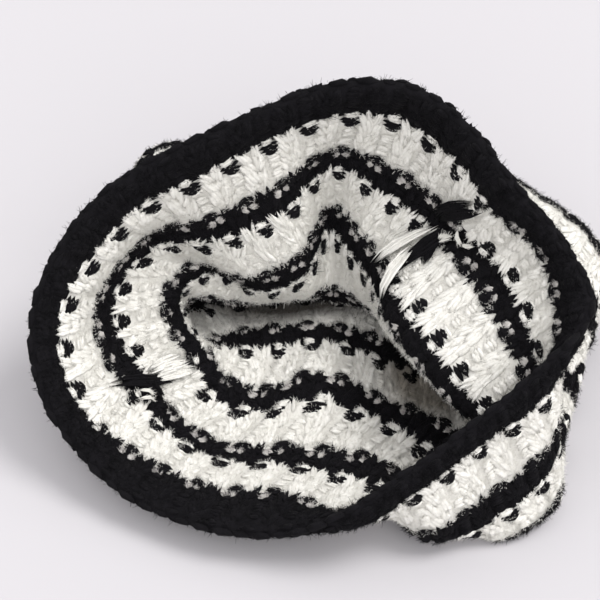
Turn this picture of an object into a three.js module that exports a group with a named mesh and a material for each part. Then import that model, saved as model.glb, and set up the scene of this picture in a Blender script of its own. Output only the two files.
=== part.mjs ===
// A knitted neck gaiter, lying slumped on a table: a striped wool tube whose open mouth
// leans back and whose other end bows up behind it and curls under.
// Units are millimetres, Z is up, the front of the object faces -Y.
import * as THREE from 'three';

const CLOTH_THICKNESS = 2.4;      // knit fabric, felted and brushed
const SEAM_THICKNESS = 3.0;       // the side seams are a little prouder than the cloth
const PIECE_GAP = 0.3;            // clear space between neighbouring stripes, along the tube
const TABLE_LEVEL = 0.6;          // height, in the control net, of the table the cloth rests on
const SEAM_HALF_COLUMNS = 0.08;   // half the seam's width, in net columns of about 22 mm
const SEAM_GAP_COLUMNS = 0.018;   // clear space beside the seam, in net columns
const LAYER_HALF_SPACING = 3.2;   // half the distance between the two layers of the bowed end
const CURLED_HEIGHT = 4.8;        // height of the curled-under end's middle
const SAMPLE_STEP = 0.01;         // step used to measure the surface's slope, in columns and mm

// Lengths along the tube, from the mouth's edge to the hidden edge.
const EDGE_BAND = 15;
const CREAM_STRIPE = 18;
const BLACK_STRIPE = 11;
const STRIPE_PAIRS = 7;
const TUBE_LENGTH = 2 * EDGE_BAND + (STRIPE_PAIRS + 1) * CREAM_STRIPE + STRIPE_PAIRS * BLACK_STRIPE;

const COLUMNS = 20;
const RIGHT_SEAM_COLUMN = 10;
// Steps across each net column: more where the tube folds over at its two sides.
const COLUMN_STEPS = [3, 3, 3, 2, 2, 2, 2, 2, 2, 2, 2, 2, 4, 4, 3, 2, 2, 2, 2, 2];

// The mouth's rings, each a closed loop of twenty points starting at the left seam and going
// round by the back: the edge, the edge band's inner side, and the first three black stripes.
const MOUTH_RINGS = [
  {
    along: 0,
    points: [
      [-80, 39, 20], [-94, 58, 34], [-95, 80, 50], [-84, 99, 66], [-64, 114, 80],
      [-40, 122, 90], [-14, 131, 98], [13, 138, 104], [41, 137, 103], [62, 120, 98],
      [75, 102, 91], [93, 82, 81], [101, 60, 71], [84, 42, 61], [60, 26, 49],
      [36, 14, 36], [14, 5, 25], [-8, 5, 15], [-35, 10, 13], [-61, 23, 13],
    ],
  },
  {
    along: 15,
    points: [
      [-71, 51, 18], [-83, 66, 30], [-84, 82, 44], [-73, 99, 56], [-57, 111, 67],
      [-35, 118, 76], [-12, 128, 84], [14, 137, 89], [37, 136, 87], [55, 121, 83],
      [66, 103, 79], [84, 86, 72], [91, 64, 62], [87, 38, 52], [64, 25, 40],
      [41, 13, 30], [19, 8, 18], [-7, 25, 10], [-33, 29, 9], [-52, 39, 10],
    ],
  },
  {
    along: 38.5,
    points: [
      [-58, 73, 13], [-71, 85, 24], [-73, 96, 34], [-66, 107, 43], [-55, 114, 49],
      [-34, 114, 54], [-11, 119, 61], [15, 136, 68], [32, 128, 63], [46, 118, 61],
      [55, 106, 60], [70, 82, 57], [80, 58, 49], [90, 31, 28], [68, 14, 14],
      [48, 9, 6], [31, 40, 1.5], [-3, 48, 1.5], [-29, 50, 1.5], [-49, 61, 6],
    ],
  },
  {
    along: 67.5,
    points: [
      [-37, 86, 14], [-46, 96, 22], [-47, 103, 30], [-41, 109, 35], [-29, 112, 33],
      [-17, 107, 31], [-2, 109, 35], [12, 128, 42], [21, 116, 41], [28, 104, 40],
      [32, 90, 41], [39, 73, 41], [55, 50, 35], [91, 24, 6], [75, 15, 1.5],
      [58, 54, 1.5], [32, 70, 1.5], [5, 77, 9], [-14, 74, 3], [-30, 78, 5],
    ],
  },
  {
    along: 96.5,
    points: [
      [-33, 97, 6], [-43, 100, 9], [-49, 107, 16], [-39, 108, 23], [-25, 107, 21],
      [-15, 111, 18], [1, 112, 18], [13, 111, 18], [22, 108, 19], [30, 102, 19],
      [37, 92, 19], [48, 80, 19], [72, 60, 17], [96, 54, 8.5], [82, 46, 1.5],
      [60, 78, 1.5], [32, 97, 4], [8, 101, 9], [-9, 102, 6], [-22, 101, 5],
    ],
  },
];

// The bowed end: where each column comes down on the table, how high it bows, and which
// layer it belongs to (+1 the outer layer, -1 the inner layer, 0 the folds between them).
const BOW_FEET = [
  [-46, 178], [-60, 165], [-65, 160], [-63, 167], [-54, 181],
  [-38, 183], [-18, 190], [2, 194], [22, 193], [42, 189],
  [62, 179], [86, 161], [113, 127], [117, 126], [115, 128],
  [95, 148], [70, 165], [43, 178], [14, 183], [-20, 180],
];
const BOW_HEIGHTS = [29, 28, 28, 31, 32, 30, 38, 44, 46, 42, 35, 31, 28, 25, 25, 30, 33, 34, 33, 29];
const BOW_LAYERS = [-1, -1.3, 0, 1.4, 1.1, 1, 1, 1, 1, 1, 1, 1.1, 1.4, 0, -1.4, -1.1, -1, -1, -1, -1];
// Stations along the bowed end: distance along the tube, share of the way out to the foot,
// share of the waist height left, share of the bow height, and the outward direction.
const BOW_STATIONS = [
  { along: 125.5, out: 0.28, waist: 0.5, rise: 0.2, lean: -0.35, lift: 0.94, curl: 0 },
  { along: 150, out: 0.54, waist: 0, rise: 0.88, lean: -0.3, lift: 0.96, curl: 0 },
  { along: 172, out: 0.8, waist: 0, rise: 1, lean: 0.3, lift: 0.95, curl: 0 },
  { along: 190, out: 0.98, waist: 0, rise: 0.72, lean: 0.9, lift: 0.4, curl: 0 },
  { along: 208, out: 1, waist: 0, rise: 0.38, lean: 1, lift: -0.1, curl: 0 },
  { along: 226, out: 0.86, waist: 0, rise: 0, lean: 0.3, lift: -0.95, curl: CURLED_HEIGHT },
  { along: TUBE_LENGTH, out: 0.6, waist: 0, rise: 0, lean: 0, lift: -1, curl: CURLED_HEIGHT },
];

const RINGS = buildRings();

// Every ring of the control net, from the mouth to the curled-under edge.
function buildRings() {
  const rings = MOUTH_RINGS.map((ring) => ({
    along: ring.along,
    points: ring.points.map((point) => new THREE.Vector3(...point)),
  }));
  const waist = rings[rings.length - 1].points;
  for (const station of BOW_STATIONS) {
    const points = waist.map((start, column) => bowPoint(start, column, station));
    rings.push({ along: station.along, points });
  }
  return rings;
}

// One point of the bowed end, on the column that leaves the waist at `start`.
function bowPoint(start, column, station) {
  const foot = new THREE.Vector3(BOW_FEET[column][0], BOW_FEET[column][1], 0);
  const reach = new THREE.Vector3(foot.x - start.x, foot.y - start.y, 0);
  const outward = reach.clone().normalize();
  const offset = BOW_LAYERS[column] * LAYER_HALF_SPACING;
  const point = new THREE.Vector3(start.x, start.y, start.z * station.waist);
  point.addScaledVector(reach, station.out);
  point.addScaledVector(outward, offset * station.lean);
  point.z += BOW_HEIGHTS[column] * station.rise + station.curl + offset * station.lift;
  return point;
}

// The slope at a knot, given its neighbours and the knot spacing on each side.
function knotSlope(previous, here, next, before, after) {
  const slopeIn = here.clone().sub(previous).multiplyScalar(after / before);
  const slopeOut = next.clone().sub(here).multiplyScalar(before / after);
  return slopeIn.add(slopeOut).divideScalar(before + after);
}

// The smooth curve between two knots; `share` runs from 0 to 1 over a spacing of `length`.
function curvePoint(start, startSlope, end, endSlope, share, length) {
  const square = share * share;
  const cube = square * share;
  const point = start.clone().multiplyScalar(2 * cube - 3 * square + 1);
  point.addScaledVector(startSlope, (cube - 2 * square + share) * length);
  point.addScaledVector(end, 3 * square - 2 * cube);
  point.addScaledVector(endSlope, (cube - square) * length);
  return point;
}

// The point at `column` on one closed ring of the net. Its slopes have unit length, which
// keeps the folds at the tube's two sides round.
function ringPoint(ring, column) {
  const wrapped = ((column % COLUMNS) + COLUMNS) % COLUMNS;
  const index = Math.floor(wrapped);
  const at = (step) => ring.points[(index + step + COLUMNS) % COLUMNS];
  const before = at(0).distanceTo(at(-1));
  const length = at(1).distanceTo(at(0));
  const after = at(2).distanceTo(at(1));
  const startSlope = knotSlope(at(-1), at(0), at(1), before, length).normalize();
  const endSlope = knotSlope(at(0), at(1), at(2), length, after).normalize();
  return curvePoint(at(0), startSlope, at(1), endSlope, wrapped - index, length);
}

// The middle of the cloth at `column` around the tube and `along` millimetres from the mouth.
function clothPoint(column, along) {
  const last = RINGS.length - 1;
  let index = 0;
  while (index < last - 1 && RINGS[index + 1].along <= along) {
    index += 1;
  }
  const start = ringPoint(RINGS[index], column);
  const end = ringPoint(RINGS[index + 1], column);
  const length = RINGS[index + 1].along - RINGS[index].along;
  // at either end of the net the curve leaves straight
  let startSlope = end.clone().sub(start).divideScalar(length);
  let endSlope = startSlope.clone();
  if (index > 0) {
    const before = RINGS[index].along - RINGS[index - 1].along;
    startSlope = knotSlope(ringPoint(RINGS[index - 1], column), start, end, before, length);
  }
  if (index < last - 1) {
    const after = RINGS[index + 2].along - RINGS[index + 1].along;
    endSlope = knotSlope(start, end, ringPoint(RINGS[index + 2], column), length, after);
  }
  return curvePoint(start, startSlope, end, endSlope, (along - RINGS[index].along) / length, length);
}

// The cloth's outward direction: away from the inside of the tube.
function clothNormal(column, along) {
  const low = Math.max(along - SAMPLE_STEP, 0);
  const high = Math.min(along + SAMPLE_STEP, TUBE_LENGTH);
  const across = clothPoint(column + SAMPLE_STEP, along).sub(clothPoint(column - SAMPLE_STEP, along));
  const down = clothPoint(column, high).sub(clothPoint(column, low));
  return across.cross(down).normalize();
}

// A solid strip of cloth over the given columns and lengths, with flat ends and sides.
function clothStrip(columns, lengths, thickness) {
  const positions = [];
  for (const side of [1, -1]) {
    for (const along of lengths) {
      for (const column of columns) {
        const point = clothPoint(column, along);
        point.addScaledVector(clothNormal(column, along), (side * thickness) / 2);
        positions.push(point.x, point.y, Math.max(point.z - TABLE_LEVEL, 0));
      }
    }
  }
  const width = columns.length;
  const height = lengths.length;
  const layer = width * height;
  const indices = [];
  const addQuad = (a, b, c, d) => indices.push(a, b, c, a, c, d);
  for (let row = 0; row < height - 1; row += 1) {
    for (let step = 0; step < width - 1; step += 1) {
      const corner = row * width + step;
      addQuad(corner, corner + 1, corner + width + 1, corner + width);
      const below = corner + layer;
      addQuad(below, below + width, below + width + 1, below + 1);
    }
  }
  for (let step = 0; step < width - 1; step += 1) {
    const near = step;
    const far = (height - 1) * width + step;
    addQuad(near, near + layer, near + layer + 1, near + 1);
    addQuad(far, far + 1, far + layer + 1, far + layer);
  }
  for (let row = 0; row < height - 1; row += 1) {
    const left = row * width;
    const right = row * width + width - 1;
    addQuad(left, left + width, left + width + layer, left + layer);
    addQuad(right, right + layer, right + width + layer, right + width);
  }
  const geometry = new THREE.BufferGeometry();
  geometry.setAttribute('position', new THREE.Float32BufferAttribute(positions, 3));
  geometry.setIndex(indices);
  geometry.computeVertexNormals();
  return geometry;
}

// The columns of one panel, from one seam to the next, leaving room for the seams.
function panelColumns(startColumn) {
  const inset = SEAM_HALF_COLUMNS + SEAM_GAP_COLUMNS;
  const columns = [startColumn + inset];
  for (let column = startColumn; column < startColumn + COLUMNS / 2; column += 1) {
    const steps = COLUMN_STEPS[column % COLUMNS];
    for (let step = 1; step <= steps; step += 1) {
      columns.push(column + step / steps);
    }
  }
  columns[columns.length - 1] -= inset;
  return columns;
}

// Even steps along the tube between two distances.
function evenLengths(start, end, steps) {
  const lengths = [];
  for (let step = 0; step <= steps; step += 1) {
    lengths.push(start + ((end - start) * step) / steps);
  }
  return lengths;
}

// The stripes from the mouth to the hidden edge: name, length along the tube and yarn.
function stripePlan() {
  const plan = [{ name: 'top_edge_band', length: EDGE_BAND, yarn: 'black', steps: 2 }];
  for (let number = 1; number <= STRIPE_PAIRS + 1; number += 1) {
    plan.push({ name: `cream_stripe_${number}`, length: CREAM_STRIPE, yarn: 'cream', steps: 2 });
    if (number <= STRIPE_PAIRS) {
      plan.push({ name: `black_stripe_${number}`, length: BLACK_STRIPE, yarn: 'black', steps: 1 });
    }
  }
  plan.push({ name: 'bottom_edge_band', length: EDGE_BAND, yarn: 'black', steps: 2 });
  return plan;
}

const YARNS = {
  black: new THREE.MeshStandardMaterial({ name: 'black_wool', color: 0x17161a, roughness: 0.95 }),
  cream: new THREE.MeshStandardMaterial({ name: 'cream_wool', color: 0xe6e0d2, roughness: 0.95 }),
  seam: new THREE.MeshStandardMaterial({ name: 'seam_wool', color: 0xcfc8b8, roughness: 0.95 }),
};

function addMesh(group, name, geometry, yarn) {
  const mesh = new THREE.Mesh(geometry, YARNS[yarn]);
  mesh.name = name;
  group.add(mesh);
}

function addPanel(group, prefix, startColumn) {
  const columns = panelColumns(startColumn);
  let start = 0;
  for (const stripe of stripePlan()) {
    const end = start + stripe.length;
    const low = start > 0 ? start + PIECE_GAP / 2 : 0;
    const high = end < TUBE_LENGTH ? end - PIECE_GAP / 2 : TUBE_LENGTH;
    const lengths = evenLengths(low, high, stripe.steps);
    addMesh(group, `${prefix}_${stripe.name}`, clothStrip(columns, lengths, CLOTH_THICKNESS), stripe.yarn);
    start = end;
  }
}

// A seam crosses every stripe, so it is stepped at the stripes' own edges.
function addSeam(group, name, column) {
  const lengths = [0];
  for (const stripe of stripePlan()) {
    const start = lengths[lengths.length - 1];
    lengths.push(...evenLengths(start, start + stripe.length, stripe.steps).slice(1));
  }
  const columns = [column - SEAM_HALF_COLUMNS, column + SEAM_HALF_COLUMNS];
  addMesh(group, name, clothStrip(columns, lengths, SEAM_THICKNESS), 'seam');
}

const gaiter = new THREE.Group();
gaiter.name = 'neck_gaiter';
addPanel(gaiter, 'back', 0);
addPanel(gaiter, 'front', RIGHT_SEAM_COLUMN);
addSeam(gaiter, 'left_side_seam', 0);
addSeam(gaiter, 'right_side_seam', RIGHT_SEAM_COLUMN);
centreOnTable(gaiter);

// Puts the origin at the middle of the footprint, on the table.
function centreOnTable(group) {
  const box = new THREE.Box3().setFromObject(group);
  const middle = box.getCenter(new THREE.Vector3());
  for (const mesh of group.children) {
    mesh.geometry.translate(-middle.x, -middle.y, -box.min.z);
  }
}

export default gaiter;
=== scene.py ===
# A black and cream knitted neck gaiter, slumped on a pale table with its mouth tipped open.
# Lengths are metres unless a name ends in _MM. The cloth is one surface, read with two
# numbers: the column, going round the tube, and the millimetres along it from the mouth.
import math

import bpy
import numpy as np
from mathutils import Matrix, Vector


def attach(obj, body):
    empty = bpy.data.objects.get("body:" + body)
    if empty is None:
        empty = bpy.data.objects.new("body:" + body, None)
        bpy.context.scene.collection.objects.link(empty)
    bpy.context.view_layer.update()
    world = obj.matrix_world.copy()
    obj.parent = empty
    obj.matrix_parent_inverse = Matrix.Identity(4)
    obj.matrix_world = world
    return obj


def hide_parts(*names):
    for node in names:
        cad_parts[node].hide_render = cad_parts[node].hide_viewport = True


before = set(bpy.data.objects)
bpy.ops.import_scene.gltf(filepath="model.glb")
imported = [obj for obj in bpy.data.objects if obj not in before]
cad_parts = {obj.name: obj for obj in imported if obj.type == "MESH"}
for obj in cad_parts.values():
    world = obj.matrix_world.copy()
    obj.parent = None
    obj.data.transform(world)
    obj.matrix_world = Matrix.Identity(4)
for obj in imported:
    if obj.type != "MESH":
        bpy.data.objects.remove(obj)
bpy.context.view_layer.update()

MM = 0.001
RANDOM_SEED = 7

# ---------------------------------------------------------------- the cloth's shape
COLUMNS = 20
SEAM_COLUMNS = (0, 10)
NET_ORIGIN_MM = (10.956, 101.378, 0.6)   # where the row frame's origin is in the control net
TUBE_LENGTH_MM = 251.0
LAYER_HALF_SPACING_MM = 3.2
SAMPLE_STEP = 0.02                       # for slopes of the cloth, in columns and in mm
CURLED_HEIGHT_MM = 4.8

# Rings of twenty points round the mouth, from the left seam and round by the back.
MOUTH_RINGS = (
    (0, ((-80, 39, 20), (-94, 58, 34), (-95, 80, 50), (-84, 99, 66), (-64, 114, 80),
         (-40, 122, 90), (-14, 131, 98), (13, 138, 104), (41, 137, 103), (62, 120, 98),
         (75, 102, 91), (93, 82, 81), (101, 60, 71), (84, 42, 61), (60, 26, 49),
         (36, 14, 36), (14, 5, 25), (-8, 5, 15), (-35, 10, 13), (-61, 23, 13))),
    (15, ((-71, 51, 18), (-83, 66, 30), (-84, 82, 44), (-73, 99, 56), (-57, 111, 67),
          (-35, 118, 76), (-12, 128, 84), (14, 137, 89), (37, 136, 87), (55, 121, 83),
          (66, 103, 79), (84, 86, 72), (91, 64, 62), (87, 38, 52), (64, 25, 40),
          (41, 13, 30), (19, 8, 18), (-7, 25, 10), (-33, 29, 9), (-52, 39, 10))),
    (38.5, ((-58, 73, 13), (-71, 85, 24), (-73, 96, 34), (-66, 107, 43), (-55, 114, 49),
            (-34, 114, 54), (-11, 119, 61), (15, 136, 68), (32, 128, 63), (46, 118, 61),
            (55, 106, 60), (70, 82, 57), (80, 58, 49), (90, 31, 28), (68, 14, 14),
            (48, 9, 6), (31, 40, 1.5), (-3, 48, 1.5), (-29, 50, 1.5), (-49, 61, 6))),
    (67.5, ((-37, 86, 14), (-46, 96, 22), (-47, 103, 30), (-41, 109, 35), (-29, 112, 33),
            (-17, 107, 31), (-2, 109, 35), (12, 128, 42), (21, 116, 41), (28, 104, 40),
            (32, 90, 41), (39, 73, 41), (55, 50, 35), (91, 24, 6), (75, 15, 1.5),
            (58, 54, 1.5), (32, 70, 1.5), (5, 77, 9), (-14, 74, 3), (-30, 78, 5))),
    (96.5, ((-33, 97, 6), (-43, 100, 9), (-49, 107, 16), (-39, 108, 23), (-25, 107, 21),
            (-15, 111, 18), (1, 112, 18), (13, 111, 18), (22, 108, 19), (30, 102, 19),
            (37, 92, 19), (48, 80, 19), (72, 60, 17), (96, 54, 8.5), (82, 46, 1.5),
            (60, 78, 1.5), (32, 97, 4), (8, 101, 9), (-9, 102, 6), (-22, 101, 5))),
)
# The end that bows up behind: where its columns come down, how high, and in which layer.
BOW_FEET = ((-46, 178), (-60, 165), (-65, 160), (-63, 167), (-54, 181), (-38, 183), (-18, 190),
            (2, 194), (22, 193), (42, 189), (62, 179), (86, 161), (113, 127), (117, 126),
            (115, 128), (95, 148), (70, 165), (43, 178), (14, 183), (-20, 180))
BOW_HEIGHTS = (29, 28, 28, 31, 32, 30, 38, 44, 46, 42, 35, 31, 28, 25, 25, 30, 33, 34, 33, 29)
BOW_LAYERS = (-1, -1.3, 0, 1.4, 1.1, 1, 1, 1, 1, 1, 1, 1.1, 1.4, 0, -1.4, -1.1, -1, -1, -1, -1)
# along the tube, share of the way out, share of the waist's height, share of the bow's
# height, outward lean, lift, and height of the curl
BOW_STATIONS = (
    (125.5, 0.28, 0.5, 0.2, -0.35, 0.94, 0),
    (150, 0.54, 0, 0.88, -0.3, 0.96, 0),
    (172, 0.8, 0, 1, 0.3, 0.95, 0),
    (190, 0.98, 0, 0.72, 0.9, 0.4, 0),
    (208, 1, 0, 0.38, 1, -0.1, 0),
    (226, 0.86, 0, 0, 0.3, -0.95, CURLED_HEIGHT_MM),
    (TUBE_LENGTH_MM, 0.6, 0, 0, 0, -1, CURLED_HEIGHT_MM),
)

# ---------------------------------------------------------------- the knitting
EDGE_BAND_MM = 15.0
CREAM_MM = 18.0
BLACK_MM = 11.0
STRIPE_PAIRS = 7
EDGE_COURSES = 4
CREAM_COURSES = 4
BLACK_COURSES = 3
REPEATS = {"back": 15, "front": 19}      # rib repeats from seam to seam
INSIDE_KNIT_END_MM = 131.0               # deeper in, the squashed tube hides its inside
CLOTH_HALF_MM = 1.0
RIM_HALF_MM = 3.1
RIM_MIDDLE_MM = 5.5                      # the rim is fattest here, and thins over its reach
RIM_REACH_MM = 10.5
HEM_HALF_MM = 2.0
HEM_MIDDLE_MM = 5.0                      # the same for the hem, from the hidden edge
HEM_REACH_MM = 8.0
TABLE_CLEARANCE_MM = 0.2

# Yarns: how far out through the cloth's half thickness they lie, how they fill out when
# they are made of several plies, and how much the plies differ.
SUNK_SHARE = 0.85
PLY_FULLNESS = 1.25
PLY_CROWDING = 0.62
PLY_TWIST = 0.3
PLY_LIFT_SPREAD_MM = 0.12
START_TURN = -0.4
END_TURN = 0.7
START_SLACK = 0.05
END_SLACK = 0.12
UNEVEN = (0.85, 1.15)                    # the range of thickness from one yarn to the next
# One stitch, as shares of a rib repeat across and of a course along: the two legs of the V,
# and the bar between the ribs. The legs of a stripe's first row start late, and those of
# its last row end high, over the next stripe.
LEG_FOOT = 0.07
LEG_TOP = 0.21
LEG_REACH = 1.55
LEG_RADIUS = 0.125
LEG_PLIES = 3
LEG_LIFT_MM = 0.3
LEG_LIFT_SPREAD_MM = 0.15
LATE_START = 0.3
EARLY_START = -0.1
LAST_TIP_LIFT_MM = 0.85
TIP_LIFT_MM = 0.35
BAR_HALF = 0.17
BAR_PLACE = 1.15
BAR_RADIUS = 0.105                       # also that of the legs in a stripe's last row
BAR_PLIES = 3
BAR_LIFT_SHARE = 0.6                     # of the legs' tip lift
SEAM_GAP = 0.02                          # the last bar stops this short of the seam
STITCH_JITTER = 0.025
# Where black shows between the ribs at a cream stripe's end: mm back from the end, and
# half width as a share of a repeat; and the one row of it at the stripe's start.
GAP_ROWS = ((0.9, 0.27), (2.4, 0.25), (3.7, 0.17))
GAP_START_ROW = (1.1, 0.22)
GAP_RADIUS_MM = 1.2
GAP_START_RADIUS_MM = 1.0
GAP_LIFT_MM = 0.9
GAP_DEPTH_MM = 5.0
GAP_HALF = 0.32
# Small cream stitches caught in the black: how many of them there are, and their size as
# shares of a repeat.
CAUGHT_CHANCE = 0.85
CAUGHT_FOOT = 0.03
CAUGHT_REACH = 0.19
CAUGHT_RADIUS = 0.07
LIP_HALF_WIDTH_MM = 4.2
LIP_HALF_HEIGHT_MM = 1.7
# yarn, fibres on each ply, fibres on each square mm of cloth, their length and radius in mm
FUZZ = (("cream", 13, 3.0, 1.5, 0.06), ("black", 12, 1.0, 1.9, 0.06), ("caught", 18, 0, 1.4, 0.06))

# The stripes don't run quite level. At each column they have crept along the tube by so many
# mm: at the edge band's end, in the body, and in the bowed end. Each of the three fades in
# and out along the tube, as the shares at the stations say.
EDGE_DRIFT_MM = np.array((-4, -4, -4, -3, -2.5, -2, -1.5, -1.5, -1, -1,
                          -2, -4, -1, -1, -1, 1, 3, -1, -2, -2.5))
BODY_DRIFT_MM = np.array((-1, 0, 0, 1, 1, 0.5, 0, -1, -1, -0.5,
                          -1.5, -2, -2.5, -2.5, -2, -2, -2.5, -2.5, -2.5, -2))
BOW_DRIFT_MM = np.array((-1, -1, -1, -1, -1, -1, 0, 0, 0, 2,
                         6, 8, 8, 8, 6, 4, 2, 2, 1, 0))
DRIFT_STATIONS_MM = (0, EDGE_BAND_MM, 38, 110, 150, 172, 205, TUBE_LENGTH_MM - 6)
EDGE_SHARES = (0, 1, 0, 0, 0, 0, 0, 0)
BODY_SHARES = (0, 0, 1, 1, 0, 0, 0, 0)
BOW_SHARES = (0, 0, 0, 0, 0, 1, 1, 0)

# The seams: even whip stitches, and nearer the mouth slack ones laid singly.
SLACK_SEAM_MM = 76.0
WHIP_STITCH_MM = 5.5
WHIP_HALF_COLUMNS = 0.14
WHIP_HALF_MM = 1.2
WHIP_LIFT_MM = 0.6
WHIP_PLIES = 2
WHIP_LEAN_MM = (1.5, 3.5)
SEAM_END_MM = TUBE_LENGTH_MM - 4
# A loose stitch: the share of its width that the plies spread over, how it narrows to its
# ends, how high it lies there, and how much the plies fill out, flatten and differ.
LOOSE_SPREAD = 0.8
LOOSE_NARROWING = 0.7
LOOSE_END_LIFT = 0.4
LOOSE_FULLNESS = 1.5
LOOSE_FLATNESS = 0.9
LOOSE_LIFT_SPREAD_MM = 0.15
LOOSE_SLIP = 0.07
WIDE_STITCH_HALF_MM = 1.5                # slack stitches wider than this have more plies
WIDE_STITCH_PLIES = 8
NARROW_STITCH_PLIES = 3
# start column and along, end column and along, half width, lift
SLACK_STITCHES = {
    "cream": (
        (8.94, 63, 9.60, 41.5, 2.6, 3.4), (9.94, 70, 9.62, 52, 3.2, 3.6),
        (10.02, 44.5, 10.08, 39, 1.8, 4.2), (10.04, 34, 10.28, 39, 1.0, 3.4),
        (10.28, 39, 10.38, 35, 0.9, 3.0), (0.14, 43, 0.18, 58, 2.6, 4.0),
        (-0.06, 43, -0.22, 62.5, 2.6, 3.6), (0.05, 46, 0.0, 60, 2.4, 4.4),
        (0.02, 33.5, -0.36, 38.5, 0.7, 5.0), (-0.1, 31, -0.44, 37.5, 0.7, 5.0),
    ),
    "black": (
        (9.3, 38, 9.88, 19, 2.0, 3.2), (9.55, 39, 10.02, 20, 3.4, 2.8),
        (9.98, 38, 9.72, 59, 3.8, 2.4), (9.8, 42, 10.1, 52, 3.0, 2.2),
        (0.36, 29, -0.3, 50, 2.8, 3.2), (0.3, 36, -0.5, 44, 2.4, 3.0),
    ),
}


def stripe_plan():
    """(yarn, start, end, courses) from the mouth to the hidden edge."""
    plan = [("black", 0.0, EDGE_BAND_MM, EDGE_COURSES)]
    for number in range(STRIPE_PAIRS + 1):
        start = plan[-1][2]
        plan.append(("cream", start, start + CREAM_MM, CREAM_COURSES))
        if number < STRIPE_PAIRS:
            start += CREAM_MM
            plan.append(("black", start, start + BLACK_MM, BLACK_COURSES))
    start = plan[-1][2]
    plan.append(("black", start, start + EDGE_BAND_MM, EDGE_COURSES))
    return plan


STRIPES = stripe_plan()


def build_net():
    """The control net: distances along the tube, and rings of points in metres."""
    alongs = [ring[0] for ring in MOUTH_RINGS]
    rings = [np.array(ring[1], float) for ring in MOUTH_RINGS]
    waist = rings[-1]
    reach = np.array(BOW_FEET, float) - waist[:, :2]
    outward = reach / np.linalg.norm(reach, axis=1)[:, None]
    offset = np.array(BOW_LAYERS, float)[:, None] * LAYER_HALF_SPACING_MM
    heights = np.array(BOW_HEIGHTS, float)
    for along, out, low, rise, lean, lift, curl in BOW_STATIONS:
        ring = np.zeros((COLUMNS, 3))
        ring[:, :2] = waist[:, :2] + reach * out + outward * offset * lean
        ring[:, 2] = waist[:, 2] * low + heights * rise + curl + offset[:, 0] * lift
        alongs.append(along)
        rings.append(ring)
    return np.array(alongs, float), (np.array(rings) - NET_ORIGIN_MM) * MM


NET_ALONG, NET_RINGS = build_net()


def knot_slope(previous, here, following, before, after):
    """The slope at a knot, from its neighbours and the knot spacing on each side."""
    slope_in = (here - previous) * (after / before)
    slope_out = (following - here) * (before / after)
    return (slope_in + slope_out) / (before + after)


def hermite(start, start_slope, end, end_slope, share, length):
    """The point at a share of the way along a cubic between two knots."""
    square = share * share
    cube = square * share
    return ((2 * cube - 3 * square + 1) * start + (cube - 2 * square + share) * length * start_slope
            + (3 * square - 2 * cube) * end + (cube - square) * length * end_slope)


def ring_points(rings, column):
    """Points on the closed rings numbered `rings`, at `column`."""
    wrapped = np.mod(column, COLUMNS)
    index = np.floor(wrapped).astype(int)
    share = (wrapped - index)[..., None]
    at = [NET_RINGS[rings, (index + step) % COLUMNS] for step in (-1, 0, 1, 2)]
    gaps = [np.linalg.norm(at[i + 1] - at[i], axis=-1)[..., None] for i in range(3)]
    slopes = [knot_slope(at[i], at[i + 1], at[i + 2], gaps[i], gaps[i + 1]) for i in range(2)]
    slopes = [slope / np.linalg.norm(slope, axis=-1)[..., None] for slope in slopes]
    return hermite(at[1], slopes[0], at[2], slopes[1], share, gaps[1])


def stripe_drift(column, along):
    """How far the knitting has crept along the tube at each column, in mm."""
    wrapped = np.mod(column, COLUMNS)
    index = np.floor(wrapped).astype(int)
    share = wrapped - index
    share = share * share * (3 - 2 * share)
    drift = 0.0
    tables = (EDGE_DRIFT_MM, BODY_DRIFT_MM, BOW_DRIFT_MM)
    for table, shares in zip(tables, (EDGE_SHARES, BODY_SHARES, BOW_SHARES)):
        creep = table[index] * (1 - share) + table[(index + 1) % COLUMNS] * share
        drift = drift + creep * np.interp(along, DRIFT_STATIONS_MM, shares)
    return drift


def cloth_points(column, along):
    """The middle of the cloth, in metres in the row frame."""
    along = along + stripe_drift(column, along)
    last = len(NET_ALONG) - 1
    index = np.clip(np.searchsorted(NET_ALONG, along, side="right") - 1, 0, last - 1)
    start = ring_points(index, column)
    end = ring_points(index + 1, column)
    previous = ring_points(np.maximum(index - 1, 0), column)
    following = ring_points(np.minimum(index + 2, last), column)
    length = (NET_ALONG[index + 1] - NET_ALONG[index])[..., None]
    before = (NET_ALONG[index] - NET_ALONG[np.maximum(index - 1, 0)])[..., None]
    after = (NET_ALONG[np.minimum(index + 2, last)] - NET_ALONG[index + 1])[..., None]
    straight = (end - start) / length
    first = before <= 0
    final = after <= 0
    start_slope = knot_slope(previous, start, end, np.where(first, 1, before), length)
    start_slope = np.where(first, straight, start_slope)
    end_slope = knot_slope(start, end, following, length, np.where(final, 1, after))
    end_slope = np.where(final, straight, end_slope)
    share = (along[..., None] - NET_ALONG[index][..., None]) / length
    return hermite(start, start_slope, end, end_slope, share, length)


def unit(vectors):
    """The same directions, at length one."""
    return vectors / np.maximum(np.linalg.norm(vectors, axis=-1)[..., None], 1e-12)


def cloth_frame(column, along):
    """Point, unit direction round the tube, unit direction along it, and outward normal."""
    low = np.maximum(along - SAMPLE_STEP, 0)
    high = np.minimum(along + SAMPLE_STEP, TUBE_LENGTH_MM)
    point = cloth_points(column, along)
    across = unit(cloth_points(column + SAMPLE_STEP, along) - cloth_points(column - SAMPLE_STEP, along))
    down = unit(cloth_points(column, high) - cloth_points(column, low))
    normal = unit(np.cross(across, down))
    # past the mouth's edge the cloth carries straight on
    point = point + down * ((along - np.clip(along, 0, TUBE_LENGTH_MM)) * MM)[..., None]
    return point, across, down, normal


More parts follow.
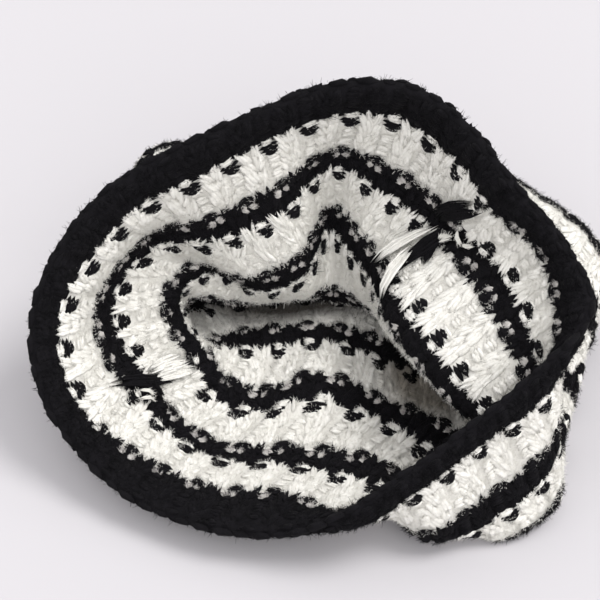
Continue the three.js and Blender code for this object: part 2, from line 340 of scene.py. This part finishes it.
class Panel:
    """One knitted panel, read by the share of its width from seam to seam."""

    SHARES = 241
    ALONGS = 127
    FINE_COLUMNS = 401
    STEEPEST_SLANT = 3

    def __init__(self, name, start_column):
        self.name = name
        self.repeats = REPEATS[name]
        columns = np.linspace(start_column, start_column + COLUMNS / 2, self.FINE_COLUMNS)
        alongs = np.linspace(0, TUBE_LENGTH_MM, self.ALONGS)
        grid_column, grid_along = np.meshgrid(columns, alongs)
        points = cloth_points(grid_column, grid_along)
        steps = np.linalg.norm(np.diff(points, axis=1), axis=2)
        lengths = np.concatenate([np.zeros((self.ALONGS, 1)), np.cumsum(steps, axis=1)], axis=1)
        self.widths_mm = lengths[:, -1] / MM
        shares = np.linspace(0, 1, self.SHARES)
        self.table = np.array([np.interp(shares * row[-1], row, columns) for row in lengths])

    def column(self, share, along):
        """The net column at a share of the width; shares past the ends run on evenly."""
        a = np.clip(along / TUBE_LENGTH_MM, 0, 1) * (self.ALONGS - 1)
        s = np.clip(share, 0, 1) * (self.SHARES - 1)
        i = np.minimum(a.astype(int), self.ALONGS - 2)
        j = np.minimum(s.astype(int), self.SHARES - 2)
        fa = a - i
        fs = s - j
        near = self.table[i, j] * (1 - fs) + self.table[i, j + 1] * fs
        far = self.table[i + 1, j] * (1 - fs) + self.table[i + 1, j + 1] * fs
        return near * (1 - fa) + far * fa

    def slant(self, share, along):
        """How far the ribs lean round the tube for each mm along it."""
        low = np.maximum(along - 1.0, 0)
        high = np.minimum(along + 1.0, TUBE_LENGTH_MM)
        start = cloth_points(self.column(share, low), low)
        move = cloth_points(self.column(share, high), high) - start
        across = cloth_frame(self.column(share, along), along)[1]
        slant = (move * across).sum(axis=-1) / ((high - low) * MM)
        return np.clip(slant, -self.STEEPEST_SLANT, self.STEEPEST_SLANT)

    def repeat_mm(self, along):
        """The width of one rib repeat."""
        a = np.clip(along / TUBE_LENGTH_MM, 0, 1) * (self.ALONGS - 1)
        return np.interp(a, np.arange(self.ALONGS), self.widths_mm) / self.repeats


BACK = Panel("back", SEAM_COLUMNS[0])
FRONT = Panel("front", SEAM_COLUMNS[1])


def half_thickness(along):
    """Half the cloth's thickness in mm: a fat rolled rim, plain cloth, and a small hem."""
    rim = np.clip(1 - np.abs(along - RIM_MIDDLE_MM) / RIM_REACH_MM, 0, 1)
    hem = np.clip(1 - np.abs(TUBE_LENGTH_MM - HEM_MIDDLE_MM - along) / HEM_REACH_MM, 0, 1)
    rim = rim * rim * (3 - 2 * rim)
    return CLOTH_HALF_MM + (RIM_HALF_MM - CLOTH_HALF_MM) * rim + (HEM_HALF_MM - CLOTH_HALF_MM) * hem


# ---------------------------------------------------------------- materials
# Painted shade deep in the tube's throat: centre, radii and how much darker at the heart. The wool's
# colour is painted darker there, on top of the shade that the cloth itself casts.
THROAT_PAINTED_SHADE_MM = (((-16, 24, 6), (50, 21, 22), 0.88), ((42, -15, 3), (27, 26, 18), 0.7))
# the warm tint of the painted shade
PAINTED_SHADE_TINT = (1, 0.92, 0.82)


def add_painted_shade(nodes, links, coordinates, colour, centre, radii, strength):
    """Paint shade: multiply a colour down inside a soft ellipsoid, given in mm in the row frame."""
    mapping = nodes.new("ShaderNodeMapping")
    mapping.inputs["Scale"].default_value = [1 / (radius * MM) for radius in radii]
    offset = [-place / radius for place, radius in zip(centre, radii)]
    mapping.inputs["Location"].default_value = offset
    links.new(coordinates.outputs["Object"], mapping.inputs["Vector"])
    ball = nodes.new("ShaderNodeTexGradient")
    ball.gradient_type = "SPHERICAL"
    links.new(mapping.outputs["Vector"], ball.inputs["Vector"])
    ramp = nodes.new("ShaderNodeValToRGB")
    ramp.color_ramp.elements[0].position = 0.02
    ramp.color_ramp.elements[0].color = (1, 1, 1, 1)
    ramp.color_ramp.elements[1].position = 0.4
    left = 1 - strength
    ramp.color_ramp.elements[1].color = (*(left * warmth for warmth in PAINTED_SHADE_TINT), 1)
    links.new(ball.outputs["Fac"], ramp.inputs["Fac"])
    mix = nodes.new("ShaderNodeMix")
    mix.data_type = "RGBA"
    mix.blend_type = "MULTIPLY"
    mix.inputs["Factor"].default_value = 1
    links.new(colour, mix.inputs["A"])
    links.new(ramp.outputs["Color"], mix.inputs["B"])
    return mix.outputs["Result"]


def wool_material(name, dark, light, sheen, grain_scale):
    """Matte brushed wool: mottled colour, painted shade deep in the throat, a fine fibre bump and a
    soft sheen.
    """
    material = bpy.data.materials.new(name)
    material.use_nodes = True
    nodes = material.node_tree.nodes
    links = material.node_tree.links
    shader = nodes["Principled BSDF"]
    shader.inputs["Roughness"].default_value = 0.92
    shader.inputs["Specular IOR Level"].default_value = 0.12
    shader.inputs["Sheen Weight"].default_value = sheen
    shader.inputs["Sheen Roughness"].default_value = 0.6
    coordinates = nodes.new("ShaderNodeTexCoord")
    mottle = nodes.new("ShaderNodeTexNoise")
    mottle.inputs["Scale"].default_value = grain_scale
    mottle.inputs["Detail"].default_value = 5
    mottle.inputs["Roughness"].default_value = 0.65
    links.new(coordinates.outputs["Object"], mottle.inputs["Vector"])
    ramp = nodes.new("ShaderNodeValToRGB")
    ramp.color_ramp.elements[0].position = 0.3
    ramp.color_ramp.elements[0].color = (*dark, 1)
    ramp.color_ramp.elements[1].position = 0.7
    ramp.color_ramp.elements[1].color = (*light, 1)
    links.new(mottle.outputs["Fac"], ramp.inputs["Fac"])
    painted_shade_colour = ramp.outputs["Color"]
    # painted shade: the colour is darkened inside the throat's ellipsoids
    for centre, radii, strength in THROAT_PAINTED_SHADE_MM:
        painted_shade_colour = add_painted_shade(nodes, links, coordinates, painted_shade_colour, centre, radii, strength)
    links.new(painted_shade_colour, shader.inputs["Base Color"])
    fibres = nodes.new("ShaderNodeTexNoise")
    fibres.inputs["Scale"].default_value = 1400
    fibres.inputs["Detail"].default_value = 3
    links.new(coordinates.outputs["Object"], fibres.inputs["Vector"])
    bump = nodes.new("ShaderNodeBump")
    bump.inputs["Strength"].default_value = 0.6
    bump.inputs["Distance"].default_value = 0.0006
    links.new(fibres.outputs["Fac"], bump.inputs["Height"])
    links.new(bump.outputs["Normal"], shader.inputs["Normal"])
    return material


CREAM = wool_material("cream_wool", (0.69, 0.677, 0.634), (0.79, 0.777, 0.738), 0.2, 260)
# the cloth's ground under the stitches: cream wool a little darker, as painted shade in the gaps
# between the stitches
CREAM_GROUND_PAINTED_SHADE = wool_material("cream_wool_ground", (0.65, 0.637, 0.594), (0.76, 0.747, 0.708), 0.2, 420)
BLACK = wool_material("black_wool", (0.002, 0.0018, 0.0026), (0.006, 0.0054, 0.007), 0.012, 260)
GREYED = wool_material("cream_wool_caught", (0.38, 0.36, 0.35), (0.62, 0.60, 0.57), 0.1, 500)
YARN_MATERIALS = {"cream": CREAM, "black": BLACK, "caught": GREYED}


# ---------------------------------------------------------------- meshes
SHELL_STEPS = 300
EDGE_ROUNDING = 0.9


def new_mesh_object(name, points, faces, materials, face_materials=None):
    """A smooth mesh object from an array of points and one of faces, riding on the root."""
    mesh = bpy.data.meshes.new(name)
    mesh.vertices.add(len(points))
    mesh.vertices.foreach_set("co", np.ascontiguousarray(points, dtype=np.float32).ravel())
    mesh.loops.add(faces.size)
    mesh.loops.foreach_set("vertex_index", faces.astype(np.int32).ravel())
    mesh.polygons.add(len(faces))
    loop_starts = np.arange(0, faces.size, faces.shape[1], dtype=np.int32)
    mesh.polygons.foreach_set("loop_start", loop_starts)
    for material in materials:
        mesh.materials.append(material)
    if face_materials is not None:
        mesh.polygons.foreach_set("material_index", np.asarray(face_materials, dtype=np.int32))
    mesh.polygons.foreach_set("use_smooth", np.ones(len(mesh.polygons), dtype=bool))
    mesh.update(calc_edges=True)
    mesh.validate()
    obj = bpy.data.objects.new(name, mesh)
    bpy.context.scene.collection.objects.link(obj)
    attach(obj, "root")
    return obj


def above_table(points):
    """The same points, with any that would sink into the table pressed flat on it."""
    points[..., 2] = np.maximum(points[..., 2], TABLE_CLEARANCE_MM * MM)
    return points


def shell_rows():
    """Distances along the tube at which the shell has a row of points."""
    rows = [0.0]
    for _, start, end, courses in STRIPES:
        steps = courses * 2
        rows.extend(start + (end - start) * (i + 1) / steps for i in range(steps))
    return np.array(rows)


def build_shell():
    """The cloth under the stitches: a closed skin over both faces, rounded at its two edges."""
    columns = np.linspace(0, COLUMNS, SHELL_STEPS, endpoint=False)
    rows = shell_rows()
    grid_column, grid_along = np.meshgrid(columns, rows)
    point, _, down, normal = cloth_frame(grid_column, grid_along)
    half = half_thickness(grid_along)[..., None] * MM
    outer = point + normal * half
    inner = point - normal * half
    edge_start = point[0] - down[0] * half[0] * EDGE_ROUNDING
    edge_end = point[-1] + down[-1] * half[-1] * EDGE_ROUNDING
    loops = [*outer, edge_end, *inner[::-1], edge_start]
    alongs = [*rows, TUBE_LENGTH_MM, *rows[::-1], 0.0]
    points = above_table(np.concatenate(loops))
    count = len(loops)
    faces = []
    face_materials = []
    for i in range(count):
        j = (i + 1) % count
        middle = (alongs[i] + alongs[j]) / 2
        yarn = next((s[0] for s in STRIPES if s[1] <= middle < s[2]), "black")
        a = np.arange(SHELL_STEPS)
        b = (a + 1) % SHELL_STEPS
        here = i * SHELL_STEPS
        following = j * SHELL_STEPS
        faces.append(np.stack([here + a, following + a, following + b, here + b], axis=1))
        face_materials.append(np.full(SHELL_STEPS, 0 if yarn == "black" else 1))
    # the cream ground is the darker painted-shade wool
    return new_mesh_object("cloth_ground", points, np.concatenate(faces),
                           [BLACK, CREAM_GROUND_PAINTED_SHADE], np.concatenate(face_materials))


# A strand is a closed spindle: rings of points between two tips. The tables give its
# radius at the tips and rings, as a share of the full radius.
SIDES = 5
RINGS = 3
STATIONS = np.linspace(0, 1, RINGS + 2)
FATNESS = np.array([0, 0.85, 1.0, 0.72, 0])
FATNESS_EVEN = np.array([0, 0.8, 1.0, 0.8, 0])
STRAND_FLATNESS = 0.6
OPEN_STATIONS = 0.08 + 0.84 * STATIONS   # the stations kept clear of both ends


def strand_faces(count):
    """Faces of `count` strands; a face at a tip has its last corner twice."""
    ring = np.arange(SIDES)
    following = (ring + 1) % SIDES
    faces = []
    start = np.zeros(SIDES, int)
    faces.append(np.stack([start, 1 + following, 1 + ring, 1 + ring], axis=1))
    for r in range(RINGS - 1):
        a = 1 + r * SIDES
        b = a + SIDES
        faces.append(np.stack([a + ring, a + following, b + following, b + ring], axis=1))
    tip = np.full(SIDES, 1 + RINGS * SIDES)
    last = 1 + (RINGS - 1) * SIDES
    faces.append(np.stack([tip, last + ring, last + following, last + following], axis=1))
    one = np.concatenate(faces)
    size = 2 + RINGS * SIDES
    return one[None] + (np.arange(count) * size)[:, None, None]


def tri_quads(faces):
    """Quads, with the ones folded at a tip cut down to triangles, as triangles."""
    first = faces[:, [0, 1, 2]]
    second = faces[:, [0, 2, 3]]
    second = second[faces[:, 2] != faces[:, 3]]
    return np.concatenate([first, second])


class Strands:
    """Short fat lengths of yarn lying on the cloth, gathered for one mesh."""

    def __init__(self):
        self.paths = []
        self.widths = []
        self.heights = []
        self.flows = []

    def add(self, panel, side, share, along, height, width, thickness):
        """Arrays of shape (strands, RINGS + 2): places on the cloth and sizes in mm."""
        column = panel.column(share, along)
        point, _, down, normal = cloth_frame(column, along)
        self.paths.append(point + normal * (side * height * MM)[..., None])
        self.flows.append(down[:, 1] * knit_direction(panel, side))
        sideways = unit(np.cross(normal * side, np.gradient(self.paths[-1], axis=1)))
        self.widths.append(sideways * (width * MM)[..., None])
        self.heights.append(normal * (side * thickness * MM)[..., None])

    def mesh(self):
        """Points and faces of all the strands."""
        path = np.concatenate(self.paths)
        width = np.concatenate(self.widths)[:, 1:-1]
        height = np.concatenate(self.heights)[:, 1:-1]
        angle = np.arange(SIDES) * 2 * math.pi / SIDES
        ring = (path[:, 1:-1, None] + width[:, :, None] * np.cos(angle)[None, None, :, None]
                + height[:, :, None] * np.sin(angle)[None, None, :, None])
        count = len(path)
        points = np.concatenate([path[:, :1], ring.reshape(count, -1, 3), path[:, -1:]], axis=1)
        return above_table(points.reshape(-1, 3)), strand_faces(count).reshape(-1, 4)


def lay_strands(strands, panel, side, start, end, lift, radius, plies, rng):
    """Yarns from start to end, each (share, along) arrays, made of lumpy plies.

    The lift over the cloth and the yarn's radius are in mm.
    """
    width = panel.repeat_mm(start[1])
    upright = (end[1] - start[1]) * panel.slant(start[0], start[1]) / width / panel.repeats
    end = (end[0] - upright, end[1])
    length = np.hypot((end[0] - start[0]) * panel.repeats * width, end[1] - start[1])
    length = np.maximum(length, 1e-6)
    over_share = -(end[1] - start[1]) / length / width / panel.repeats
    over_along = (end[0] - start[0]) * panel.repeats * width / length
    for ply in range(plies):
        aside = (ply - (plies - 1) / 2) * 2 / plies * radius
        twist = rng.normal(0, PLY_TWIST, radius.shape) * radius
        ends = []
        for place, turn, slack in ((start, START_TURN, START_SLACK), (end, END_TURN, END_SLACK)):
            offset = aside + twist * turn
            overrun = (end[1] - start[1]) * rng.normal(0, slack, radius.shape)
            ends.append((place[0] + over_share * offset, place[1] + over_along * offset + overrun))
        share = ends[0][0][:, None] * (1 - STATIONS) + ends[1][0][:, None] * STATIONS
        along = ends[0][1][:, None] * (1 - STATIONS) + ends[1][1][:, None] * STATIONS
        height = lift[0][:, None] * (1 - STATIONS) + lift[1][:, None] * STATIONS
        height = height + half_thickness(along) * SUNK_SHARE
        height = height + rng.normal(0, PLY_LIFT_SPREAD_MM, (len(radius), 1))
        fullness = PLY_FULLNESS if plies > 1 else 1
        thick = (radius * fullness / max(plies * PLY_CROWDING, 1))[:, None] * FATNESS[None, :]
        thick = thick * rng.uniform(0.8, 1.2, share.shape)
        strands.add(panel, side, share, along, height, thick, thick * STRAND_FLATNESS)


def knit_direction(panel, side):
    """Which way the stitches point: +1 away from the mouth, -1 towards it."""
    return 1 if (panel is BACK) == (side > 0) else -1


def knit_face(panel, side, rng):
    """The stitches on one face of one panel: strands by yarn."""
    found = {"cream": Strands(), "black": Strands(), "caught": Strands()}
    way = knit_direction(panel, side)
    repeat = 1 / panel.repeats
    ribs = (np.arange(panel.repeats) + 0.5) * repeat
    for yarn, start, end, courses in STRIPES:
        if side < 0 and start >= INSIDE_KNIT_END_MM:
            continue
        pitch = (end - start) / courses
        first = start if way > 0 else end
        for course in range(courses):
            base = first + way * course * pitch
            late = LATE_START if course == 0 else EARLY_START
            last = course == courses - 1
            lay_course(found[yarn], panel, side, ribs, base, way * pitch, late, last, rng)
        if yarn == "cream":
            lay_edges(found, panel, side, ribs, start, end, way, rng)
    if side > 0:
        lay_lip(found["black"], panel, rng)
    return found


def lay_course(strands, panel, side, ribs, base, pitch, late, last, rng):
    """One row of stitches: a V on each rib, and a sunk bar between the ribs.

    `late` is how late the V starts, as a share of a course; `last` is true in a stripe's
    last row.
    """
    count = len(ribs)
    tip_lift = LAST_TIP_LIFT_MM if last else TIP_LIFT_MM
    leg_radius = BAR_RADIUS if last else LEG_RADIUS
    width = panel.repeat_mm(np.array([base]))[0]
    repeat = 1 / panel.repeats
    for hand in (-1, 1):
        jitter = rng.normal(0, STITCH_JITTER, (4, count))
        start = (ribs + repeat * (hand * LEG_FOOT + jitter[0]),
                 base + pitch * late + width * jitter[1])
        end = (ribs + repeat * (hand * LEG_TOP + jitter[2]),
               base + pitch * LEG_REACH + width * jitter[3])
        radius = width * leg_radius * rng.uniform(*UNEVEN, count)
        lift = (rng.normal(LEG_LIFT_MM, LEG_LIFT_SPREAD_MM, count) - max(late, 0),
                rng.normal(tip_lift, LEG_LIFT_SPREAD_MM, count))
        lay_strands(strands, panel, side, start, end, lift, radius, LEG_PLIES, rng)
    bars = np.append(ribs - repeat / 2, 1 - SEAM_GAP * repeat)
    jitter = rng.normal(0, STITCH_JITTER, (4, count + 1))
    start = (bars + repeat * (jitter[0] - BAR_HALF), base + pitch * BAR_PLACE + width * jitter[1])
    end = (bars + repeat * (jitter[2] + BAR_HALF), base + pitch * BAR_PLACE + width * jitter[3])
    radius = width * BAR_RADIUS * rng.uniform(*UNEVEN, count + 1)
    lift = np.full(count + 1, LEG_LIFT_MM + tip_lift * BAR_LIFT_SHARE)
    lay_strands(strands, panel, side, start, end, (lift, lift), radius, BAR_PLIES, rng)


def lay_edges(found, panel, side, ribs, start, end, way, rng):
    """Where black shows between the ribs at both ends of a cream stripe.

    Inside the tube, cream stitches are also caught in the black beside the first row.
    """
    count = len(ribs)
    repeat = 1 / panel.repeats
    head = end if way > 0 else start
    tail = start if way > 0 else end
    width = panel.repeat_mm(np.array([head]))[0]
    bars = ribs + repeat / 2
    flat = np.zeros(count)
    lift = (flat + GAP_LIFT_MM, flat + GAP_LIFT_MM)
    for row, reach in GAP_ROWS:
        along = flat + head - way * row
        lay_strands(found["black"], panel, side, (bars - repeat * reach, along),
                    (bars + repeat * reach, along), lift, flat + GAP_RADIUS_MM, 1, rng)
    row, reach = GAP_START_ROW
    along = flat + tail + way * row
    lay_strands(found["black"], panel, side, (bars - repeat * reach, along),
                (bars + repeat * reach, along), lift, flat + GAP_START_RADIUS_MM, 2, rng)
    if side > 0:
        return
    for hand in (-1, 1):
        size = rng.uniform(0.75, 1.1, count) * (rng.uniform(0, 1, count) < CAUGHT_CHANCE)
        inner = bars + repeat * hand * (CAUGHT_FOOT + rng.normal(0, 0.02, count))
        outer = inner + repeat * hand * CAUGHT_REACH * size
        lay_strands(found["caught"], panel, side,
                    (inner, tail - way * (3.1 + rng.normal(0, 0.3, count))),
                    (outer, tail - way * (1.5 + rng.normal(0, 0.4, count))),
                    (flat + 0.75, flat + 0.95), width * CAUGHT_RADIUS * size, 3, rng)


def lay_lip(strands, panel, rng):
    """Fat loops carried over the mouth's edge from one face to the other."""
    count = panel.repeats * 2
    share = (np.arange(count)[:, None] + 0.5 + rng.normal(0, 0.06, (count, 1))) / count
    share = share + np.zeros(RINGS + 2)
    edge = np.zeros(share.shape)
    point, across, down, normal = cloth_frame(panel.column(share, edge), edge)
    turn = math.pi * OPEN_STATIONS[None, :, None]
    out = normal * np.cos(turn) - down * np.sin(turn)
    reach = half_thickness(edge)[..., None] * MM
    strands.paths.append(point + out * reach * 0.5)
    strands.flows.append(-down[:, 0])
    fat = rng.uniform(0.7, 1.3, (count, 1, 1)) * FATNESS[None, :, None] * MM
    strands.widths.append(across * fat * LIP_HALF_WIDTH_MM)
    strands.heights.append(out * fat * LIP_HALF_HEIGHT_MM)


def lay_float(strands, side, stitch, plies, rng):
    """A long loose stitch: start and end (column, along), half width and lift in mm."""
    start_column, start_along, end_column, end_along, half_width, lift = stitch
    column = start_column * (1 - STATIONS) + end_column * STATIONS
    along = start_along * (1 - STATIONS) + end_along * STATIONS
    point, _, _, normal = cloth_frame(column, along)
    sideways = unit(np.cross(normal, unit(point[-1] - point[0])))
    leaf = np.sin(math.pi * OPEN_STATIONS) ** LOOSE_NARROWING
    arch = LOOSE_END_LIFT + (1 - LOOSE_END_LIFT) * np.sin(math.pi * STATIONS)
    for ply in range(plies):
        aside = ((ply + 0.5) / plies * 2 - 1) * half_width * leaf * LOOSE_SPREAD
        height = half_thickness(along) * SUNK_SHARE + lift * arch + rng.normal(0, LOOSE_LIFT_SPREAD_MM)
        path = point + (normal * (side * height[:, None]) + sideways * aside[:, None]) * MM
        path = path + (point[-1] - point[0]) * rng.normal(0, LOOSE_SLIP)
        uneven = rng.uniform(*UNEVEN, len(STATIONS))
        thick = half_width / plies * LOOSE_FULLNESS * FATNESS_EVEN * uneven * MM
        strands.paths.append(path[None])
        strands.flows.append(unit(point[-1:] - point[:1]))
        strands.widths.append((sideways * thick[:, None])[None])
        strands.heights.append((normal * (side * thick * LOOSE_FLATNESS)[:, None])[None])


def lay_seams(found, side, rng):
    """The sewn joins: short whip stitches down each seam, and slack ones near the mouth."""
    for seam in SEAM_COLUMNS:
        first = SLACK_SEAM_MM if side < 0 else EDGE_BAND_MM
        last = INSIDE_KNIT_END_MM if side < 0 else SEAM_END_MM
        for along in np.arange(first, last, WHIP_STITCH_MM):
            yarn = next(s[0] for s in STRIPES if s[1] <= along < s[2])
            lean = rng.uniform(*WHIP_LEAN_MM)
            stitch = (seam - WHIP_HALF_COLUMNS, along - lean, seam + WHIP_HALF_COLUMNS, along + lean,
                      WHIP_HALF_MM, WHIP_LIFT_MM)
            lay_float(found[yarn], side, stitch, WHIP_PLIES, rng)
    if side < 0:
        for yarn, stitches in SLACK_STITCHES.items():
            for stitch in stitches:
                plies = WIDE_STITCH_PLIES if stitch[4] > WIDE_STITCH_HALF_MM else NARROW_STITCH_PLIES
                lay_float(found[yarn], side, stitch, plies, rng)


# ---------------------------------------------------------------- fuzz
FIBRE_TAPER = (1.0, 0.9, 0.65, 0.2)
ROOT_DEPTH = 0.85                        # fibres root at this share of a strand's radius
# How far fibres stray from their strand, and those of the ground from the way of the knit.
STRAND_STRAY = 0.42
STRAND_BEND = 0.24
GROUND_STRAY = 0.8
GROUND_BEND = 0.25


def bent_fibres(root, reach, bend):
    """Fibres of four points each, from the root out by the reach and bowed by the bend."""
    return np.stack([root, root + reach * 0.36 + bend * 0.5,
                     root + reach * 0.72 + bend, root + reach + bend * 0.5], axis=1)


def hair_object(name, material, path, radius_mm):
    """Tapering fibres, each four points long."""
    curves = bpy.data.hair_curves.new(name)
    curves.add_curves([path.shape[1]] * len(path))
    curves.position_data.foreach_set("vector", path.astype(np.float32).ravel())
    taper = np.tile(np.array(FIBRE_TAPER) * radius_mm * MM, len(path))
    if "radius" not in curves.attributes:
        curves.attributes.new("radius", "FLOAT", "POINT")
    curves.attributes["radius"].data.foreach_set("value", taper.astype(np.float32))
    curves.materials.append(material)
    obj = bpy.data.objects.new(name, curves)
    bpy.context.scene.collection.objects.link(obj)
    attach(obj, "root")


def strand_fuzz(strands, per_strand, length_mm, rng):
    """Fibres that leave the sides of the strands and sweep along them."""
    path = np.repeat(np.concatenate(strands.paths), per_strand, axis=0)
    width = np.repeat(np.concatenate(strands.widths), per_strand, axis=0)
    height = np.repeat(np.concatenate(strands.heights), per_strand, axis=0)
    count = len(path)
    pick = np.arange(count)
    place = rng.uniform(0.6, RINGS + 0.4, count)
    index = place.astype(int)
    share = (place - index)[:, None]
    centre = path[pick, index] * (1 - share) + path[pick, index + 1] * share
    angle = rng.uniform(0.15, math.pi - 0.15, count)[:, None]
    sideways = width[pick, index] * np.cos(angle)
    upward = height[pick, index] * np.sin(angle)
    root = centre + (sideways + upward) * ROOT_DEPTH
    flow = np.repeat(np.concatenate(strands.flows), per_strand, axis=0)
    along = unit(unit(path[:, -1] - path[:, 0]) * 0.6 + flow * 0.5)
    out = unit(sideways + upward)
    outward = out * rng.uniform(0.05, 0.8, count)[:, None]
    direction = unit(along + outward + rng.normal(0, STRAND_STRAY, (count, 3)))
    length = length_mm * MM * rng.uniform(0.4, 1.2, count)[:, None]
    bend = rng.normal(0, STRAND_BEND, (count, 3)) * length
    return bent_fibres(root, direction * length, bend)


def ground_fuzz(panel, side, start, end, per_mm2, length_mm, rng):
    """Short fibres rooted all over a stripe, but for the gaps between its last stitches.

    `start` and `end` are the stripe's, along the tube.
    """
    area = panel.repeat_mm(np.array([start]))[0] * panel.repeats * (end - start)
    count = int(area * per_mm2)
    along = rng.uniform(start, end, count)
    share = rng.uniform(0, 1, count)
    way = knit_direction(panel, side)
    from_head = end - along if way > 0 else along - start
    from_bar = 0.5 - np.abs(share * panel.repeats % 1 - 0.5)
    clear = (from_head > GAP_DEPTH_MM) | (from_bar > GAP_HALF)
    share = share[clear]
    along = along[clear]
    count = len(along)
    point, across, down, normal = cloth_frame(panel.column(share, along), along)
    lift = half_thickness(along) + rng.uniform(0.1, 0.9, count)
    root = point + normal * (lift * side * MM)[:, None]
    lengthways = down * (way * 0.5 + rng.normal(0, GROUND_STRAY, (count, 1)))
    sideways = across * rng.normal(0, GROUND_STRAY, (count, 1))
    upward = normal * (side * rng.uniform(0.1, 0.6, (count, 1)))
    direction = unit(lengthways + sideways + upward)
    length = length_mm * MM * rng.uniform(0.5, 1.2, count)[:, None]
    bend = rng.normal(0, GROUND_BEND, (count, 3)) * length
    return bent_fibres(root, direction * length, bend)


def build_knitting():
    """All the stitches, seams and fibres; gives back the mesh pieces."""
    rng = np.random.default_rng(RANDOM_SEED)
    pieces = []
    fuzz = {"cream": [], "black": [], "caught": []}
    for panel in (BACK, FRONT):
        for side, where in ((-1, "inside"), (1, "outside")):
            for yarn, strands in knit_face(panel, side, rng).items():
                if not strands.paths:
                    continue
                points, faces = strands.mesh()
                fuzz[yarn].append(strands)
                name = f"{panel.name}_{where}_{yarn}_stitches"
                piece = new_mesh_object(name, points, tri_quads(faces), [YARN_MATERIALS[yarn]])
                pieces.append(piece)
    for side, where in ((-1, "inside"), (1, "outside")):
        found = {"cream": Strands(), "black": Strands()}
        lay_seams(found, side, rng)
        for yarn, strands in found.items():
            points, faces = strands.mesh()
            name = f"seams_{where}_{yarn}_stitches"
            piece = new_mesh_object(name, points, tri_quads(faces), [YARN_MATERIALS[yarn]])
            pieces.append(piece)
            fuzz[yarn].append(strands)
    for yarn, per_strand, per_mm2, length_mm, radius_mm in FUZZ:
        paths = [strand_fuzz(strands, per_strand, length_mm, rng) for strands in fuzz[yarn]]
        paths += [ground_fuzz(panel, side, start, end, per_mm2, length_mm, rng)
                  for panel in (BACK, FRONT) for side in (-1, 1)
                  for stripe_yarn, start, end, _ in STRIPES
                  if stripe_yarn == yarn and (side > 0 or start < INSIDE_KNIT_END_MM)]
        path = above_table(np.concatenate(paths))
        hair_object(f"{yarn}_fuzz", YARN_MATERIALS[yarn], path, radius_mm)
    return pieces


# ---------------------------------------------------------------- camera, floor, light
CAMERA_TARGET = Vector((-0.011, -0.0222, 0.0538))
CAMERA_DISTANCE = 0.9
CAMERA_ELEVATION = math.radians(50)
SENSOR_WIDTH_MM = 36
VIEW_WIDTH = 0.216
FLOOR_HALF_SIZE = 6
DOME_STRENGTH = 1.25


def place_camera():
    """The view down into the mouth."""
    data = bpy.data.cameras.new("camera")
    data.sensor_width = SENSOR_WIDTH_MM
    data.lens = SENSOR_WIDTH_MM * CAMERA_DISTANCE / VIEW_WIDTH
    data.clip_start = 0.01
    camera = bpy.data.objects.new("camera", data)
    away = Vector((0, -math.cos(CAMERA_ELEVATION), math.sin(CAMERA_ELEVATION)))
    camera.location = CAMERA_TARGET + away * CAMERA_DISTANCE
    camera.rotation_euler = (CAMERA_TARGET - camera.location).to_track_quat("-Z", "Y").to_euler()
    bpy.context.scene.collection.objects.link(camera)
    bpy.context.scene.camera = camera


def add_sun(name, place, width_degrees, strength, colour):
    """A sun that shines from the place towards the origin."""
    data = bpy.data.lights.new(name, "SUN")
    data.angle = math.radians(width_degrees)
    data.energy = strength
    data.color = colour
    light = bpy.data.objects.new(name, data)
    light.location = place
    light.rotation_euler = (-Vector(place)).to_track_quat("-Z", "Y").to_euler()
    bpy.context.scene.collection.objects.link(light)


def add_floor():
    """The pale table top."""
    mesh = bpy.data.meshes.new("floor")
    square = ((-1, -1), (1, -1), (1, 1), (-1, 1))
    corners = [(x * FLOOR_HALF_SIZE, y * FLOOR_HALF_SIZE, 0) for x, y in square]
    mesh.from_pydata(corners, [], [(0, 1, 2, 3)])
    material = bpy.data.materials.new("pale_floor")
    material.use_nodes = True
    shader = material.node_tree.nodes["Principled BSDF"]
    shader.inputs["Base Color"].default_value = (0.495, 0.483, 0.502, 1)
    shader.inputs["Roughness"].default_value = 0.9
    shader.inputs["Specular IOR Level"].default_value = 0.1
    mesh.materials.append(material)
    floor = bpy.data.objects.new("floor", mesh)
    bpy.context.scene.collection.objects.link(floor)


def add_light():
    """A pale dome, a soft key sun from the right and a weak, wide fill from the front."""
    world = bpy.data.worlds.new("studio")
    world.use_nodes = True
    nodes = world.node_tree.nodes
    links = world.node_tree.links
    direction = nodes.new("ShaderNodeTexCoord")
    split = nodes.new("ShaderNodeSeparateXYZ")
    dome = nodes.new("ShaderNodeValToRGB")
    dome.color_ramp.elements[0].position = 0.1
    dome.color_ramp.elements[0].color = (0.7, 0.693, 0.7, 1)
    dome.color_ramp.elements[1].position = 0.95
    dome.color_ramp.elements[1].color = (1, 0.99, 1, 1)
    links.new(direction.outputs["Generated"], split.inputs["Vector"])
    links.new(split.outputs["Z"], dome.inputs["Fac"])
    links.new(dome.outputs["Color"], nodes["Background"].inputs["Color"])
    nodes["Background"].inputs["Strength"].default_value = DOME_STRENGTH
    bpy.context.scene.world = world
    add_sun("key", (0.6, 0.12, 1.0), 26, 1.95, (1, 0.99, 0.975))
    add_sun("fill", (0.2, -1.0, 0.6), 60, 0.8, (1, 0.99, 0.985))
    bpy.context.scene.view_settings.view_transform = "Standard"
    bpy.context.scene.view_settings.look = "None"


place_camera()
add_floor()
add_light()
shell = build_shell()
knitting = build_knitting()
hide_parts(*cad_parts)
